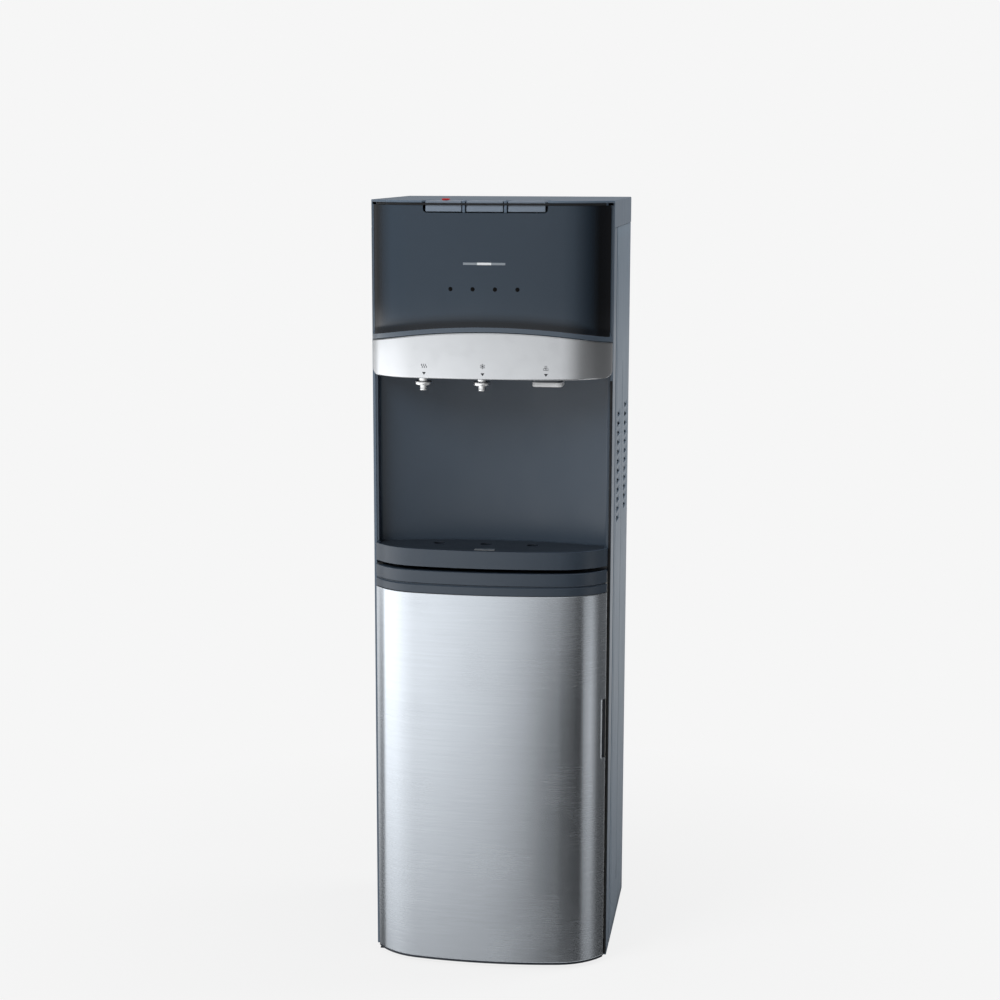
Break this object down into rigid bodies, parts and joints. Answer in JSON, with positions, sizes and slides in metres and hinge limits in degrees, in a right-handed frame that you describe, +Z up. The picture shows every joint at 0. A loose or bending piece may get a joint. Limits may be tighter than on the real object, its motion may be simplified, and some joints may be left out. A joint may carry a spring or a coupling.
{
  "type": "bottom load water cooler",
  "caption": "Free-standing bottom-loading water cooler with bowed steel door, dispensing niche, chromed water outlets, ice outlet and top keys",
  "frame": {"origin": "floor level under the middle of the overall box", "axes": "+Z up, the bowed door and niche face -Y, +X to the right seen from the front"},
  "size_m": [0.31, 0.346, 1.002],
  "materials": {
    "slate_gloss": "gloss",
    "slate_panel": "satin",
    "slate_moulding": "satin",
    "dark_moulding": "satin",
    "brushed_skin": "brushed",
    "silver_trim": "metallic",
    "chromed": "polished",
    "white_moulding": "satin",
    "grey_moulding": "satin",
    "black_rubber": "matte",
    "black_steel": "satin",
    "zinc_steel": "plated",
    "stainless": "satin",
    "copper_tube": "bright",
    "pressed_foam": "matte",
    "cold_block": "cast",
    "red_plastic": "gloss",
    "clear_plastic": "clear",
    "circuit_board": "satin"
  },
  "bodies": {
    "cabinet": {"front_fascia": "slate_gloss", "niche_liner": "slate_gloss", "left_side_panel": "slate_panel", "right_side_panel": "slate_panel", "left_column": "slate_moulding", "right_column": "slate_moulding", "top_cover": "slate_moulding", "base_pan": "dark_moulding", "machine_shelf": "dark_moulding", "outlet_plate": "dark_moulding", "key_housing": "dark_moulding", "door_magnet": "dark_moulding", "service_panel": "dark_moulding", "water_pump": "dark_moulding", "silver_band": "silver_trim", "hot_nozzle": "chromed", "cold_nozzle": "chromed", "ice_chute": "chromed", "bay_liner": "white_moulding", "hot_valve": "white_moulding", "cold_valve": "white_moulding", "ice_bin": "white_moulding", "foot_front_left": "black_rubber", "foot_front_right": "black_rubber", "foot_rear_left": "black_rubber", "foot_rear_right": "black_rubber", "drain_plug": "black_rubber", "back_panel": "black_steel", "compressor": "black_steel", "condenser": "black_steel", "upper_hinge": "zinc_steel", "lower_hinge": "zinc_steel", "upper_deck": "zinc_steel", "heating_element": "zinc_steel", "auger_motor": "zinc_steel", "hot_tank": "stainless", "cold_tank": "stainless", "evaporator_coil": "copper_tube", "tank_insulation": "pressed_foam", "ice_maker": "cold_block", "light_guide": "clear_plastic", "status_strip": "clear_plastic", "probe_hose": "clear_plastic", "control_board": "circuit_board"},
    "door": {"door_skin": "brushed_skin", "door_liner": "grey_moulding", "door_cap": "dark_moulding", "door_gasket": "black_rubber"},
    "hot_key": {"hot_key": "slate_moulding"},
    "cold_key": {"cold_key": "slate_moulding"},
    "ice_key": {"ice_key": "slate_moulding"},
    "child_lock": {"child_lock": "red_plastic"},
    "flap": {"ice_flap": "grey_moulding"},
    "tray": {"drip_tray": "dark_moulding"},
    "grid": {"drip_grid": "dark_moulding", "tray_bar": "silver_trim"},
    "auger": {"ice_auger": "zinc_steel"},
    "heating_switch": {"heating_switch": "red_plastic"},
    "cooling_switch": {"cooling_switch": "red_plastic"},
    "probe": {"bottle_probe": "white_moulding"}
  },
  "joints": [
    {"name": "door_swing", "type": "hinge", "parent": "cabinet", "child": "door", "pos_m": [-0.145, -0.12795, 0], "axis": [0, 0, -1], "range_deg": [0, 110]},
    {"name": "hot_key_press", "type": "hinge", "parent": "cabinet", "child": "hot_key", "pos_m": [-0.0545, -0.12305, 0.993], "axis": [1, 0, 0], "range_deg": [0, 4], "stiffness_Nm_per_rad": 0.6, "springref_deg": -2.86},
    {"name": "cold_key_press", "type": "hinge", "parent": "cabinet", "child": "cold_key", "pos_m": [-0.0023, -0.12305, 0.993], "axis": [1, 0, 0], "range_deg": [0, 4], "stiffness_Nm_per_rad": 0.6, "springref_deg": -2.86},
    {"name": "ice_key_press", "type": "hinge", "parent": "cabinet", "child": "ice_key", "pos_m": [0.0499, -0.12305, 0.993], "axis": [1, 0, 0], "range_deg": [0, 4], "stiffness_Nm_per_rad": 0.6, "springref_deg": -2.86},
    {"name": "child_lock_slide", "type": "slide", "parent": "hot_key", "child": "child_lock", "axis": [0, 1, 0], "range_m": [0, 0.005]},
    {"name": "flap_open", "type": "hinge", "parent": "cabinet", "child": "flap", "pos_m": [0.075, -0.12595, 0.8022], "axis": [1, 0, 0], "range_deg": [0, 57], "stiffness_Nm_per_rad": 0.004, "springref_deg": -34.38},
    {"name": "tray_out", "type": "slide", "parent": "cabinet", "child": "tray", "axis": [0, -1, 0], "range_m": [0, 0.06]},
    {"name": "grid_lift", "type": "slide", "parent": "tray", "child": "grid", "axis": [0, 0, 1], "range_m": [0, 0.025]},
    {"name": "auger_turn", "type": "hinge", "parent": "cabinet", "child": "auger", "pos_m": [0.075, -0.02295, 0.8685], "axis": [0, 1, 0], "continuous": true},
    {"name": "heating_rocker", "type": "hinge", "parent": "cabinet", "child": "heating_switch", "pos_m": [-0.118, 0.14855, 0.905], "axis": [-1, 0, 0], "range_deg": [0, 16]},
    {"name": "cooling_rocker", "type": "hinge", "parent": "cabinet", "child": "cooling_switch", "pos_m": [-0.092, 0.14855, 0.905], "axis": [-1, 0, 0], "range_deg": [0, 16]},
    {"name": "probe_lift", "type": "slide", "parent": "cabinet", "child": "probe", "axis": [0, 0, 1], "range_m": [0, 0.012], "deforming": ["probe_hose"]}
  ]
}
